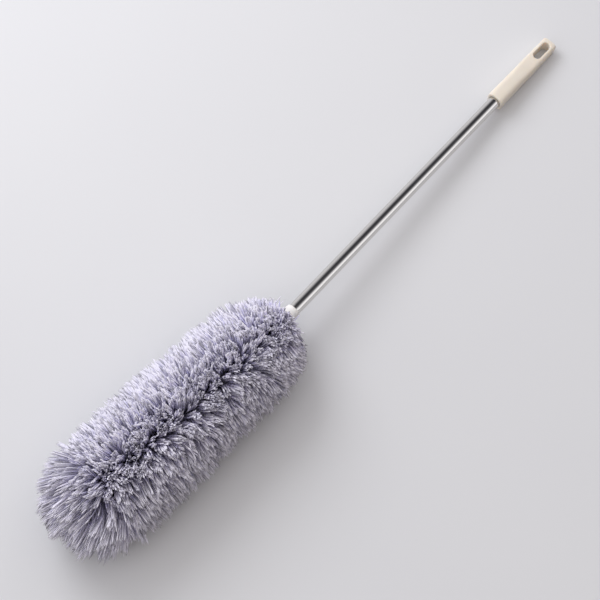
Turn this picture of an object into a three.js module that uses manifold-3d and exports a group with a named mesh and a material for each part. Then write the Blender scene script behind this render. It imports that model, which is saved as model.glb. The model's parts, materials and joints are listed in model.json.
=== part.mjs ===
// Ceiling fan duster: a telescopic steel pole with an ivory handle and a bendable pile head.
// It lies on the floor as it does in use between jobs: the butt of the handle and the underside
// of the pile touch the floor (z = 0), +X points to the handle and -X to the tip of the head.
import * as THREE from "three";
import { mergeVertices } from "three/addons/utils/BufferGeometryUtils.js";
import Module from "manifold-3d";

// Driving dimensions in millimetres, angles in degrees.
const GAP = 0.3; // clearance between two pieces that touch or slide

// Pole: four thin steel tubes, each with a necked mouth and, but for the first, a stop bead.
const TUBE_DIAMETER = 15; // outside of the first tube
const TUBE_WALL = 0.5;
const BEAD_HEIGHT = 0.4; // how far the stop bead stands out of its tube
const BEAD_LENGTH = 3;
const BEAD_SETBACK = 32; // from the rear end of a tube to its stop bead
const NECK_LENGTH = 6; // stretch of the mouth that is rolled in
const MOUTH_LENGTH = 3; // straight stretch at the end of the neck
const MOUTH_STEP = 1; // each closed tube sits this much deeper than the one around it
const VISIBLE_TUBE = 365; // from the handle to the mouth of the first tube

// Friction bushes and plugs inside the pole.
const BUSH_FLANGE = 8;
const BUSH_SPIGOT = 10;
const BUSH_WALL = 1.2;
const BUSH_SLIT = 1.2;
const BUSH_BRIDGE = 1.5; // flange left uncut at the end of the slit
const EDGE_BREAK = 0.5; // small chamfer on turned and moulded edges
const END_PLUG_FLANGE = 2.7;
const END_PLUG_SPIGOT = 12;
const THREAD_DIAMETER = 6;
const THREAD_LENGTH = 16;
const THREAD_COLLAR = 2;
const THREAD_SPIGOT = 14;
const FOURTH_TUBE_PROUD = 1; // the last tube stands this far out of the first one's mouth

// Handle: round where it takes the tube, tapering to a flattened bar at the hang slot.
const HANDLE_LENGTH = 110;
const HANDLE_WALL = 3.1; // plastic around the tube at the front
const BUTT_WIDTH = 19;
const BUTT_THICKNESS = 16.5;
const BUTT_CORNER = 3.5; // rounding of the butt seen from above
const BUTT_EDGE = 2.5; // rounding of the butt seen from the side
const BUTT_SQUARENESS = 3.2; // exponent of the flattened section: 2 is an ellipse
const FLAT_PAST_SLOT = 3; // the section stays flattened this far past the slot
const ROUND_STRETCH = 40; // length over which it becomes round
const FRONT_EDGE = 1;
const SLOT_LENGTH = 27;
const SLOT_WIDTH = 10;
const SLOT_FROM_BUTT = 6;
const SLOT_CHAMFER = 1.2;
const SLOT_WEB = 18.7; // solid plastic between the slot and the bore for the tube

// Ferrule: the white socket of the head.
const FERRULE_STEP = 1.8; // how far it stands out around the tube
const FERRULE_TAPER = 0.6; // how much its radius shrinks towards the pile
const FERRULE_COLLAR = 11.5; // length of the visible collar
const FERRULE_SHOULDER = 1.5;
const FERRULE_NECK = 23.5; // length of the neck inside the pile
const WIRE_HOLE_DEPTH = 8;

// Core of the head: a soft wire in a plastic rod.
const CORE_DIAMETER = 14;
const WIRE_DIAMETER = 4;
const WIRE_CLEARANCE = 0.4;
const BEND_START = 3; // straight core left after the ferrule before it bends
const BEND_REACH = 25; // length of each arm of the bend
const HEAD_TURN = 5.5; // sideways set of the head against the pole
const POLE_TILT = 4.5; // rise of the pole from the handle to the head
const TIP_CAP_WALL = 1.3;
const TIP_CAP_SKIRT = 8;
const TIP_CAP_DOME = 4;

// Pile: locks of fibre on a fabric backing wound around the core.
const PILE_DIAMETER = 124;
const PILE_BACKING = 298; // length of the backing along the core
const BACKING_WALL = 1.5;
const BACKING_CLEARANCE = 0.5;
const NECK_UNDER_PILE = 15; // length of ferrule neck that the backing covers
const PILE_NODES = 4;
const ROWS = 5; // rows of locks on each pile piece
const LOCKS = 24; // locks around each row
const ROW_SHEAR = 7.5; // turn from row to row of the wound fringe
const LOCK_WIDTH = 6.5; // a lock at its fullest, around the head, where it stands upright
const LOCK_DEPTH = 7.5; // a lock at its fullest, along the head
const LOCK_FULLEST = 0.74; // where along a lock it is fullest, as a share of its length
const LOCK_UNEVEN = 0.07; // spread of the lengths of the locks
const LOCK_STRAY = 3; // spread of the tips to each side
const TIP_FLAT = 0.5; // length of tip that is pressed flat on a lock that reaches the floor
const REAR_LEAN = -8; // lean of the first row, towards the handle
const REAR_LEAN_ROWS = 4;
const TIP_LEAN = 64; // lean of the last row, over the tip
const TIP_LEAN_ROWS = 6;

const SIDES = 24; // facets around a turned piece
const CORE_CURVE_SEGMENTS = 6; // a half circle of the core
const CORE_STEPS = 20;
const HANDLE_SIDES = 32;

const radians = THREE.MathUtils.degToRad;
const wasm = await Module();
wasm.setup();

// A closed geometry as a solid that can be cut.
function solidOf(geometry) {
  const plain = geometry.clone();
  plain.deleteAttribute("normal");
  plain.deleteAttribute("uv");
  const merged = mergeVertices(plain, 1e-3);
  return new wasm.Manifold(
    new wasm.Mesh({
      numProp: 3,
      vertProperties: merged.attributes.position.array,
      triVerts: new Uint32Array(merged.index.array),
    }),
  );
}

// A geometry with the cutters taken away.
function cut(geometry, ...cutters) {
  let solid = solidOf(geometry);
  for (const cutter of cutters) solid = solid.subtract(solidOf(cutter));
  const mesh = solid.getMesh();
  const result = new THREE.BufferGeometry();
  result.setAttribute("position", new THREE.BufferAttribute(mesh.vertProperties, 3));
  result.setIndex(new THREE.BufferAttribute(mesh.triVerts, 1));
  result.computeVertexNormals();
  return result;
}

// A turned piece from [radius, height] pairs, counter-clockwise with the axis on the left.
function turned(profile) {
  return new THREE.LatheGeometry(
    profile.map(([radius, height]) => new THREE.Vector2(radius, height)),
    SIDES,
  );
}

// A closed skin through rings of equal point counts, with flat ends.
function loft(rings) {
  const count = rings[0].length;
  const points = rings.flat();
  const index = [];
  for (let r = 0; r + 1 < rings.length; r++)
    for (let k = 0; k < count; k++) {
      const a = r * count + k;
      const b = r * count + ((k + 1) % count);
      index.push(a, a + count, b, b, a + count, b + count);
    }
  const last = (rings.length - 1) * count;
  for (let k = 1; k + 1 < count; k++) {
    index.push(0, k, k + 1);
    index.push(last, last + k + 1, last + k);
  }
  const geometry = new THREE.BufferGeometry().setFromPoints(points);
  geometry.setIndex(index);
  geometry.computeVertexNormals();
  return geometry;
}

function finish(color, roughness, metalness) {
  return new THREE.MeshStandardMaterial({ color, roughness, metalness });
}

const ivoryPlastic = finish(0xe4dacb, 0.45, 0);
const whitePlastic = finish(0xf1efec, 0.4, 0);
const polishedSteel = finish(0xc9cacd, 0.12, 1);
const softWire = finish(0x8f9093, 0.4, 1);
const corePlastic = finish(0xd9d7d6, 0.55, 0);
const pileFibre = finish(0x9a98ae, 0.9, 0);

const duster = new THREE.Group();
const pole = new THREE.Group();
duster.add(pole);

function addPiece(parent, name, geometry, material) {
  const mesh = new THREE.Mesh(geometry, material);
  mesh.name = name;
  parent.add(mesh);
}

// Handle. The pole's own Y runs from the butt to the head, its Z is up and its X is across.
const tubeRadius = TUBE_DIAMETER / 2;
const handleDiameter = TUBE_DIAMETER + 2 * (GAP + HANDLE_WALL);
const slotEnd = SLOT_FROM_BUTT + SLOT_LENGTH;
const flatEnd = slotEnd + FLAT_PAST_SLOT;
const roundStart = flatEnd + ROUND_STRETCH;

function handleSection(along) {
  const toRound = THREE.MathUtils.smoothstep(along, flatEnd, roundStart);
  const inset = (distance, radius) =>
    distance < radius ? radius - Math.sqrt(radius ** 2 - (radius - distance) ** 2) : 0;
  const front = inset(HANDLE_LENGTH - along, FRONT_EDGE);
  const width = THREE.MathUtils.lerp(BUTT_WIDTH, handleDiameter, along / HANDLE_LENGTH);
  const thickness = THREE.MathUtils.lerp(BUTT_THICKNESS, handleDiameter, along / HANDLE_LENGTH);
  const power = 2 / THREE.MathUtils.lerp(BUTT_SQUARENESS, 2, toRound);
  const halfWidth = width / 2 - inset(along, BUTT_CORNER) - front;
  const halfThickness = thickness / 2 - inset(along, BUTT_EDGE) - front;
  const bulge = (value) => Math.sign(value) * Math.abs(value) ** power;
  return Array.from({ length: HANDLE_SIDES }, (_, k) => {
    const angle = ((k + 0.5) / HANDLE_SIDES) * 2 * Math.PI;
    return new THREE.Vector3(
      halfWidth * bulge(Math.cos(angle)),
      along,
      halfThickness * bulge(Math.sin(angle)),
    );
  });
}

const roundingSteps = [0, 0.1, 0.3, 0.6, 1];
const handleStations = [
  ...roundingSteps.map((share) => share * BUTT_CORNER),
  ...[0, 0.2, 0.4, 0.6, 0.8, 1].map((share) => flatEnd + share * ROUND_STRETCH),
  ...[1, 0.4, 0].map((share) => HANDLE_LENGTH - share * FRONT_EDGE),
];
const handleRings = handleStations.map(handleSection);

const boreBottom = slotEnd + SLOT_WEB;
const tubeRear = boreBottom + END_PLUG_FLANGE + 2 * GAP;
const handleBore = turned([
  [0, boreBottom],
  [tubeRadius + GAP, boreBottom],
  [tubeRadius + GAP, HANDLE_LENGTH + 1],
  [0, HANDLE_LENGTH + 1],
]);

const slot = new THREE.Shape();
const slotRear = SLOT_FROM_BUTT + SLOT_WIDTH / 2;
const slotFront = slotEnd - SLOT_WIDTH / 2;
slot.absarc(0, slotRear, SLOT_WIDTH / 2, Math.PI, 2 * Math.PI);
slot.absarc(0, slotFront, SLOT_WIDTH / 2, 0, Math.PI);
const slotThrough = new THREE.ExtrudeGeometry(slot, {
  depth: 2 * BUTT_THICKNESS,
  bevelEnabled: false,
  curveSegments: 8,
}).translate(0, 0, -BUTT_THICKNESS);
const slotRim = new THREE.ExtrudeGeometry(slot, {
  depth: BUTT_THICKNESS / 2,
  bevelThickness: SLOT_CHAMFER,
  bevelSize: SLOT_CHAMFER,
  bevelSegments: 1,
  curveSegments: 8,
}).translate(0, 0, BUTT_THICKNESS / 2);
const slotRimBelow = slotRim.clone().rotateY(Math.PI);
addPiece(
  pole,
  "handle_grip",
  cut(loft(handleRings), handleBore, slotThrough, slotRim, slotRimBelow),
  ivoryPlastic,
);

// Tubes of the pole, from the outermost in, with the plug or bush that fills each rear end.
function tubeProfile(tube) {
  const { radius, rear, mouth, neck, bead } = tube;
  const inside = [];
  const outside = [];
  const step = (height, radiusOutside) => {
    inside.push([radiusOutside - TUBE_WALL, height]);
    outside.unshift([radiusOutside, height]);
  };
  step(rear, radius);
  if (bead) {
    step(bead - BEAD_HEIGHT, radius);
    step(bead, radius + BEAD_HEIGHT);
    step(bead + BEAD_LENGTH, radius + BEAD_HEIGHT);
    step(bead + BEAD_LENGTH + BEAD_HEIGHT, radius);
  }
  if (neck) {
    step(mouth - NECK_LENGTH, radius);
    step(mouth - MOUTH_LENGTH, neck + TUBE_WALL);
    step(mouth, neck + TUBE_WALL);
  } else {
    step(mouth, radius);
  }
  return [inside[0], ...outside.reverse(), ...inside.reverse()];
}

const firstMouth = HANDLE_LENGTH + VISIBLE_TUBE;
const radiusStep = TUBE_WALL + GAP + BEAD_HEIGHT;
const tubeNames = ["outer_tube", "second_tube", "third_tube", "fourth_tube"];
const bushNames = [null, "second_bush", "third_bush", "fourth_bush"];
const tubes = [];
let packedTo = tubeRear + END_PLUG_SPIGOT;
for (let n = 0; n < tubeNames.length; n++) {
  const radius = tubeRadius - n * radiusStep;
  const last = n === tubeNames.length - 1;
  const flangeRear = packedTo + 2 * GAP;
  const rear = n === 0 ? tubeRear : flangeRear + BUSH_FLANGE + GAP;
  const tube = {
    name: tubeNames[n],
    radius,
    bore: radius - TUBE_WALL,
    rear,
    mouth: last ? firstMouth + FOURTH_TUBE_PROUD : firstMouth - n * MOUTH_STEP,
    neck: last ? null : radius - radiusStep + GAP,
    bead: n === 0 ? null : rear + BEAD_SETBACK,
    flangeRear,
  };
  if (n > 0) packedTo = rear + BUSH_SPIGOT;
  tubes.push(tube);
  addPiece(pole, tube.name, turned(tubeProfile(tube)), polishedSteel);
}

const endPlugRear = tubeRear - GAP - END_PLUG_FLANGE;
const endPlug = turned([
  [0, endPlugRear],
  [tubeRadius - EDGE_BREAK, endPlugRear],
  [tubeRadius, endPlugRear + EDGE_BREAK],
  [tubeRadius, tubeRear - GAP],
  [tubes[0].bore - GAP, tubeRear - GAP],
  [tubes[0].bore - GAP, tubeRear + END_PLUG_SPIGOT - EDGE_BREAK],
  [tubes[0].bore - GAP - EDGE_BREAK, tubeRear + END_PLUG_SPIGOT],
  [0, tubeRear + END_PLUG_SPIGOT],
]);
addPiece(pole, "tube_end_plug", endPlug, whitePlastic);

// Split friction bushes: a springy flange behind the tube and a spigot inside it.
function bushGeometry(tube, around) {
  const flangeRadius = around.bore - GAP;
  const spigotRadius = tube.bore - GAP;
  const holeRadius = spigotRadius - BUSH_WALL;
  const flangeFront = tube.flangeRear + BUSH_FLANGE;
  const spigotFront = tube.rear + BUSH_SPIGOT;
  const ring = turned([
    [holeRadius, tube.flangeRear],
    [flangeRadius - EDGE_BREAK, tube.flangeRear],
    [flangeRadius, tube.flangeRear + EDGE_BREAK],
    [flangeRadius, flangeFront],
    [spigotRadius, flangeFront],
    [spigotRadius, spigotFront],
    [holeRadius, spigotFront],
    [holeRadius, tube.flangeRear],
  ]);
  const slitLength = BUSH_FLANGE - BUSH_BRIDGE;
  const slit = new THREE.BoxGeometry(BUSH_SLIT, 2 * slitLength, 2 * flangeRadius).translate(
    0,
    tube.flangeRear,
    flangeRadius,
  );
  return cut(ring, slit);
}

for (let n = 1; n < tubes.length; n++)
  addPiece(pole, bushNames[n], bushGeometry(tubes[n], tubes[n - 1]), whitePlastic);

// Threaded plug in the mouth of the last tube.
const lastTube = tubes[tubes.length - 1];
const threadRadius = THREAD_DIAMETER / 2;
const collarRear = lastTube.mouth + GAP;
const studRear = collarRear + THREAD_COLLAR;
const studFront = studRear + THREAD_LENGTH;
const threadPlug = turned([
  [0, lastTube.mouth - THREAD_SPIGOT],
  [lastTube.bore - GAP, lastTube.mouth - THREAD_SPIGOT],
  [lastTube.bore - GAP, collarRear],
  [lastTube.radius, collarRear],
  [lastTube.radius, studRear],
  [threadRadius, studRear],
  [threadRadius, studFront - EDGE_BREAK],
  [threadRadius - EDGE_BREAK, studFront],
  [0, studFront],
]);
addPiece(pole, "thread_plug", threadPlug, whitePlastic);

// Ferrule: screwed on the plug, with a neck that the pile is bound on.
const ferruleRear = firstMouth + GAP;
const collarFront = ferruleRear + FERRULE_COLLAR;
const neckRear = collarFront + FERRULE_SHOULDER;
const neckFront = neckRear + FERRULE_NECK;
const coreRadius = CORE_DIAMETER / 2;
const wireHole = WIRE_DIAMETER / 2 + WIRE_CLEARANCE;
const ferruleRadius = tubeRadius + FERRULE_STEP;
const entryRadius = Math.max(lastTube.radius, threadRadius) + GAP;
const ferrule = turned([
  [0, studFront + 2 * GAP],
  [threadRadius + GAP, studFront + 2 * GAP],
  [threadRadius + GAP, studRear + GAP],
  [entryRadius, studRear + GAP],
  [entryRadius, ferruleRear],
  [ferruleRadius - EDGE_BREAK, ferruleRear],
  [ferruleRadius, ferruleRear + EDGE_BREAK],
  [ferruleRadius - FERRULE_TAPER, collarFront],
  [coreRadius, neckRear],
  [coreRadius, neckFront],
  [wireHole, neckFront],
  [wireHole, neckFront - WIRE_HOLE_DEPTH],
  [0, neckFront - WIRE_HOLE_DEPTH],
]);
addPiece(pole, "ferrule", ferrule, whitePlastic);

// Lay the pole on the floor by the butt of its handle.
const tilt = radians(POLE_TILT);
const poleAxis = new THREE.Vector3(-Math.cos(tilt), 0, Math.sin(tilt));
const poleUp = new THREE.Vector3(Math.sin(tilt), 0, Math.cos(tilt));
const poleAcross = new THREE.Vector3(0, 1, 0);
pole.quaternion.setFromRotationMatrix(
  new THREE.Matrix4().makeBasis(poleAcross, poleAxis, poleUp),
);
const lowest = Math.min(
  ...handleRings.flat().map((point) => point.y * poleAxis.z + point.z * poleUp.z),
);
pole.position.z = -lowest;
const onPole = (along) => pole.position.clone().addScaledVector(poleAxis, along);

// Core path: out of the ferrule along the pole, then level and turned to one side.
const turn = radians(HEAD_TURN);
const headAxis = new THREE.Vector3(-Math.cos(turn), Math.sin(turn), 0);
const pileRear = neckFront - NECK_UNDER_PILE;
const bendCorner = onPole(neckFront + BEND_START + BEND_REACH);
const bendRear = onPole(neckFront + BEND_START);
const bendFront = bendCorner.clone().addScaledVector(headAxis, BEND_REACH);
const bend = new THREE.QuadraticBezierCurve3(bendRear, bendCorner, bendFront);
const coreEnd = pileRear + PILE_BACKING + TIP_CAP_SKIRT; // along the path, counted from the butt
const straightHead = coreEnd - (neckFront + BEND_START) - bend.getLength();

function corePath(from, to) {
  const path = new THREE.CurvePath();
  const tip = bendFront.clone().addScaledVector(headAxis, straightHead + to - coreEnd);
  path.add(new THREE.LineCurve3(onPole(from), bendRear));
  path.add(bend);
  path.add(new THREE.LineCurve3(bendFront, tip));
  return path;
}

function sweptRound(radius, hole, from, to) {
  const section = new THREE.Shape();
  section.absarc(0, 0, radius, 0, 2 * Math.PI);
  if (hole > 0) {
    const bore = new THREE.Path();
    bore.absarc(0, 0, hole, 0, 2 * Math.PI, true);
    section.holes.push(bore);
  }
  return new THREE.ExtrudeGeometry(section, {
    steps: CORE_STEPS,
    curveSegments: CORE_CURVE_SEGMENTS,
    extrudePath: corePath(from, to),
  });
}

const wireRear = neckFront - WIRE_HOLE_DEPTH + GAP;
const wireFront = coreEnd - GAP;
addPiece(
  duster,
  "core_sheath",
  sweptRound(coreRadius, wireHole, neckFront + GAP, coreEnd),
  corePlastic,
);
addPiece(
  duster,
  "core_wire",
  sweptRound(WIRE_DIAMETER / 2, 0, wireRear, wireFront),
  softWire,
);

// Frame of the core at a distance along it: a point, its direction, sideways and up.
const wholePath = corePath(pileRear, coreEnd);
const wholeLength = wholePath.getLength();
function coreFrame(along) {
  const share = THREE.MathUtils.clamp((along - pileRear) / wholeLength, 0, 1);
  const point = wholePath.getPointAt(share);
  const forward = wholePath.getTangentAt(share);
  const sideways = new THREE.Vector3().crossVectors(forward, new THREE.Vector3(0, 0, 1));
  sideways.normalize();
  const up = new THREE.Vector3().crossVectors(sideways, forward);
  return { point, forward, sideways, up };
}

function aroundCore(along, radius, angle) {
  const { point, sideways, up } = coreFrame(along);
  return point
    .clone()
    .addScaledVector(sideways, radius * Math.cos(angle))
    .addScaledVector(up, radius * Math.sin(angle));
}

// Even spread between -1 and 1 that is the same on every build.
function spread(row, column, use) {
  const wave = Math.sin(row * 12.9898 + column * 78.233 + use * 37.719) * 43758.5453;
  return 2 * (wave - Math.floor(wave)) - 1;
}

// One pile piece: a sleeve of backing whose outside is all locks of fibre. The locks under the
// head stand on the floor, which presses their tips flat.
const backingBore = coreRadius + BACKING_CLEARANCE;
const backingRadius = backingBore + BACKING_WALL;
const lockLength = PILE_DIAMETER / 2 - backingRadius;
const allRows = PILE_NODES * ROWS;

function rowLean(row) {
  const rear = Math.max(0, 1 - row / REAR_LEAN_ROWS);
  const front = Math.max(0, 1 - (allRows - 1 - row) / TIP_LEAN_ROWS);
  return radians(REAR_LEAN * rear ** 2 + TIP_LEAN * front ** 2);
}

function lockPoints(row, column, along, angle) {
  const { forward, sideways, up } = coreFrame(along);
  const radial = new THREE.Vector3()
    .addScaledVector(sideways, Math.cos(angle))
    .addScaledVector(up, Math.sin(angle));
  const around = new THREE.Vector3().crossVectors(radial, forward);
  const lean = rowLean(row);
  const way = new THREE.Vector3()
    .addScaledVector(radial, Math.cos(lean))
    .addScaledVector(forward, Math.sin(lean));
  const across = new THREE.Vector3().crossVectors(around, way);
  const freeLength = lockLength * (1 + LOCK_UNEVEN * spread(row, column, 1));
  const root = aroundCore(along, backingRadius, angle);
  const freeTip = root
    .clone()
    .addScaledVector(way, freeLength)
    .addScaledVector(around, LOCK_STRAY * spread(row, column, 2))
    .addScaledVector(across, LOCK_STRAY * spread(row, column, 3));
  const pressed = freeTip.z < 0 ? (root.z + TIP_FLAT) / (root.z - freeTip.z) : 1;
  const length = freeLength * pressed;
  const tip = root.clone().lerp(freeTip, pressed);
  const middle = root.clone().addScaledVector(way, LOCK_FULLEST * length);
  const upright = backingRadius + LOCK_FULLEST * lockLength;
  const leaning = backingRadius + LOCK_FULLEST * length * Math.cos(lean);
  const width = (LOCK_WIDTH * leaning) / upright;
  const corner = (sideStep, acrossStep) =>
    middle
      .clone()
      .addScaledVector(around, (sideStep * width) / 2)
      .addScaledVector(across, (acrossStep * LOCK_DEPTH) / 2);
  const fullest = [corner(-1, -1), corner(-1, 1), corner(1, 1), corner(1, -1)];
  const onFloor = (point) => point.clone().lerp(tip, point.z / (point.z - tip.z)).setZ(0);
  return { fullest, tip, flat: tip.z < 0 ? fullest.map(onFloor) : null };
}

function pileGeometry(piece) {
  const pieceLength = PILE_BACKING / PILE_NODES;
  const rear = pileRear + piece * pieceLength + GAP / 2;
  const pitch = (pieceLength - GAP) / ROWS;
  const rowStart = (row) => rear + row * pitch;
  const columnAngle = (row, column) =>
    (2 * Math.PI * column) / LOCKS + radians(ROW_SHEAR) * (piece * ROWS + row);
  const points = [];
  const triangle = (...corners) => points.push(...corners);
  const quad = (a, b, c, d) => triangle(a, b, c, a, c, d);
  const outer = (row, column) =>
    aroundCore(rowStart(row), backingRadius, columnAngle(row, column));
  const inner = (row, column) =>
    aroundCore(rowStart(row), backingBore, columnAngle(row, column));
  for (let column = 0; column < LOCKS; column++) {
    const next = (column + 1) % LOCKS;
    quad(outer(0, column), outer(0, next), inner(0, next), inner(0, column));
    quad(inner(ROWS, column), inner(ROWS, next), outer(ROWS, next), outer(ROWS, column));
    for (let row = 0; row < ROWS; row++) {
      quad(
        inner(row, column),
        inner(row, next),
        inner(row + 1, next),
        inner(row + 1, column),
      );
      const roots = [
        outer(row, column),
        outer(row + 1, column),
        outer(row + 1, next),
        outer(row, next),
      ];
      const middleAngle = columnAngle(row + 0.5, column + 0.5);
      const { fullest, tip, flat } = lockPoints(
        piece * ROWS + row,
        column,
        rowStart(row + 0.5),
        middleAngle,
      );
      for (let side = 0; side < 4; side++) {
        const far = (side + 1) % 4;
        quad(roots[side], roots[far], fullest[far], fullest[side]);
        if (flat) quad(fullest[side], fullest[far], flat[far], flat[side]);
        else triangle(fullest[side], fullest[far], tip);
      }
      if (flat) quad(...flat);
    }
  }
  return new THREE.BufferGeometry().setFromPoints(points);
}

for (let piece = 0; piece < PILE_NODES; piece++)
  addPiece(duster, `pile_${piece + 1}`, pileGeometry(piece), pileFibre);

// Cap over the end of the core, hidden in the pile at the tip.
const capRear = pileRear + PILE_BACKING + GAP;
const capOutside = backingBore + TIP_CAP_WALL;
const capSkirt = coreEnd + GAP - capRear;
const domeAngles = [0, 0.25, 0.5, 0.75, 1].map((share) => (share * Math.PI) / 2);
const tipCap = turned([
  [0, capSkirt],
  [backingBore, capSkirt],
  [backingBore, 0],
  [capOutside, 0],
  ...domeAngles.map((angle) => [
    capOutside * Math.cos(angle),
    capSkirt + TIP_CAP_DOME * Math.sin(angle),
  ]),
]);
tipCap.applyQuaternion(
  new THREE.Quaternion().setFromUnitVectors(new THREE.Vector3(0, 1, 0), headAxis),
);
const capPlace = bendFront.clone().addScaledVector(headAxis, straightHead + capRear - coreEnd);
tipCap.translate(...capPlace.toArray());
addPiece(duster, "tip_cap", tipCap, whitePlastic);

// Set the origin under the middle of the whole part.
duster.updateMatrixWorld(true);
const middle = new THREE.Box3().setFromObject(duster, true).getCenter(new THREE.Vector3());
duster.position.set(-middle.x, -middle.y, 0);

// Where the joints are at rest: slides along the pole, bends about upright axes in the head.
const slideTravel = (n) =>
  tubes[n - 1].mouth - NECK_LENGTH - (tubes[n].bead + BEAD_LENGTH + BEAD_HEIGHT) - GAP;
duster.userData.joints = {
  slideAxis: poleAxis.toArray(),
  slideTravel: [1, 2, 3].map(slideTravel),
  bendPivots: [1, 2, 3].map((n) =>
    coreFrame(pileRear + (n * PILE_BACKING) / PILE_NODES)
      .point.add(duster.position)
      .toArray(),
  ),
};

export default duster;
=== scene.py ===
import json
import math

import bpy
from mathutils import Matrix, Vector


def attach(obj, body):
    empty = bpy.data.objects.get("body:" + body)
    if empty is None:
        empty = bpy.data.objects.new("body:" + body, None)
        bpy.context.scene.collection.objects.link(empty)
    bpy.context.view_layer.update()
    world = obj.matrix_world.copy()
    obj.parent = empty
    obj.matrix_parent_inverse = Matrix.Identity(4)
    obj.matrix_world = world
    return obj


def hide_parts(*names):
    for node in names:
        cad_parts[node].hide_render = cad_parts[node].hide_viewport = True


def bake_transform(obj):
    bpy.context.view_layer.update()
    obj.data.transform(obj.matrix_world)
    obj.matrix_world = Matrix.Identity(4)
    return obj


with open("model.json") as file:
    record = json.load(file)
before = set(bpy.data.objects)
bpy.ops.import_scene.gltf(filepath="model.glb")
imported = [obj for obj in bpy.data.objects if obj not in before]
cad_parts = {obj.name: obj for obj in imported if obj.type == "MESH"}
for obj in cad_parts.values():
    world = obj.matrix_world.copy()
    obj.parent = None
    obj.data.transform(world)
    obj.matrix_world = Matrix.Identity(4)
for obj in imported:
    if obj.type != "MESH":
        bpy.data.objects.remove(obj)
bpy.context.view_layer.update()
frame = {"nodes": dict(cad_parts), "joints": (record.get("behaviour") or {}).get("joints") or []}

# Tubes of the telescopic pole, from the outermost in. Each is thin stainless steel, drawn and
# polished, with its mouth rolled in so that the stop bead of the next tube can't leave it.
# Sizes along the pole are millimetres from the butt of the handle, in the pole's own frame.
MM = 0.001
TUBE_RADIUS = 7.5
TUBE_RADIUS_STEP = 1.2
TUBE_WALL = 0.5
TUBE_LIP = 0.15
BEAD_SETBACK = 32.0
BEAD_LENGTH = 3.8
BEAD_HEIGHT = 0.4
BEAD_FULLNESS = 0.7
NECK_LENGTH = 6.0
MOUTH_LENGTH = 3.0
NECK_DEPTH = 0.4
CURVE_STEPS = 12
TUBE_SIDES = 72
SHARP_ANGLE = math.radians(38)
STEEL_COLOUR = "#d9d7d4"
DRAW_LINE = (0.35 * MM, 0.35 * MM, 45 * MM)
SMUDGE = 28 * MM

slide = next(joint for joint in frame["joints"] if joint["name"] == "second_tube_slide")
pole_axis = Vector(slide["axis"]).normalized()
pole_side = Vector((0, 0, 1)).cross(pole_axis).normalized()
pole_up = pole_axis.cross(pole_side)
handle_places = [v.co.dot(pole_axis) for v in frame["nodes"]["handle_grip"].data.vertices]
butt = pole_axis * min(handle_places)
for across in (pole_side, pole_up):
    tube_places = [v.co.dot(across) for v in frame["nodes"]["outer_tube"].data.vertices]
    butt += across * (min(tube_places) + max(tube_places)) / 2
pole_turn = Matrix((pole_side, pole_up, pole_axis)).transposed()
pole = Matrix.Translation(butt) @ pole_turn.to_4x4() @ Matrix.Scale(MM, 4)


def reach(node):
    """Where a CAD node starts and ends along the pole, in millimetres from the butt."""
    places = [(v.co - butt).dot(pole_axis) / MM for v in frame["nodes"][node].data.vertices]
    return min(places), max(places)


def skin(name, rings, place, finish):
    """A closed piece through rings of points; a ring of one point closes an end."""
    points, rows, faces = [], [], []
    for ring in rings:
        rows.append(range(len(points), len(points) + len(ring)))
        points += [place @ Vector(point) for point in ring]
    for here, there in zip(rows, rows[1:] + rows[:1]):
        for k in range(max(len(here), len(there))):
            a, b = here[k % len(here)], here[(k + 1) % len(here)]
            c, d = there[(k + 1) % len(there)], there[k % len(there)]
            corners = list(dict.fromkeys((a, b, c, d)))
            if len(corners) > 2:
                faces.append(corners)
    mesh = bpy.data.meshes.new(name)
    mesh.from_pydata(points, [], faces)
    mesh.shade_smooth()
    mesh.set_sharp_from_angle(angle=SHARP_ANGLE)
    mesh.materials.append(finish)
    made = bpy.data.objects.new(name, mesh)
    bpy.context.scene.collection.objects.link(made)
    return made


def circle(radius, height, sides=TUBE_SIDES):
    """A ring of points around the pole, or its centre where the radius is nought."""
    if radius == 0:
        return [(0, 0, height)]
    turns = [2 * math.pi * k / sides for k in range(sides)]
    return [(radius * math.cos(turn), radius * math.sin(turn), height) for turn in turns]


def tube_outline(radius, rear, mouth, bead, neck):
    """Outside of a tube from rear to mouth, then its inside back again."""
    outside = [(radius - TUBE_LIP, rear), (radius, rear + TUBE_LIP)]
    steps = [k / CURVE_STEPS for k in range(CURVE_STEPS + 1)]
    if bead:
        for share in steps:
            swell = math.sin(math.pi * share) ** BEAD_FULLNESS
            outside.append((radius + BEAD_HEIGHT * swell, bead + BEAD_LENGTH * share))
    if neck:
        for share in steps:
            drawn_in = (1 - math.cos(math.pi * share)) / 2
            height = mouth - NECK_LENGTH + (NECK_LENGTH - MOUTH_LENGTH) * share
            outside.append((radius - neck * drawn_in, height))
    lip_radius = outside[-1][0]
    outside.append((lip_radius, mouth - TUBE_LIP))
    inside = [(r - TUBE_WALL, height) for r, height in reversed(outside[1:])]
    lip = [(lip_radius - TUBE_LIP, mouth), (lip_radius - TUBE_WALL + TUBE_LIP, mouth)]
    rear_edge = [(radius - TUBE_WALL + TUBE_LIP, rear)]
    return outside + lip + inside + rear_edge


def srgb(code):
    """An sRGB hex colour as linear RGBA."""
    parts = [int(code[k:k + 2], 16) / 255 for k in (1, 3, 5)]
    linear = [p / 12.92 if p <= 0.04045 else ((p + 0.055) / 1.055) ** 2.4 for p in parts]
    return (*linear, 1.0)


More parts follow.
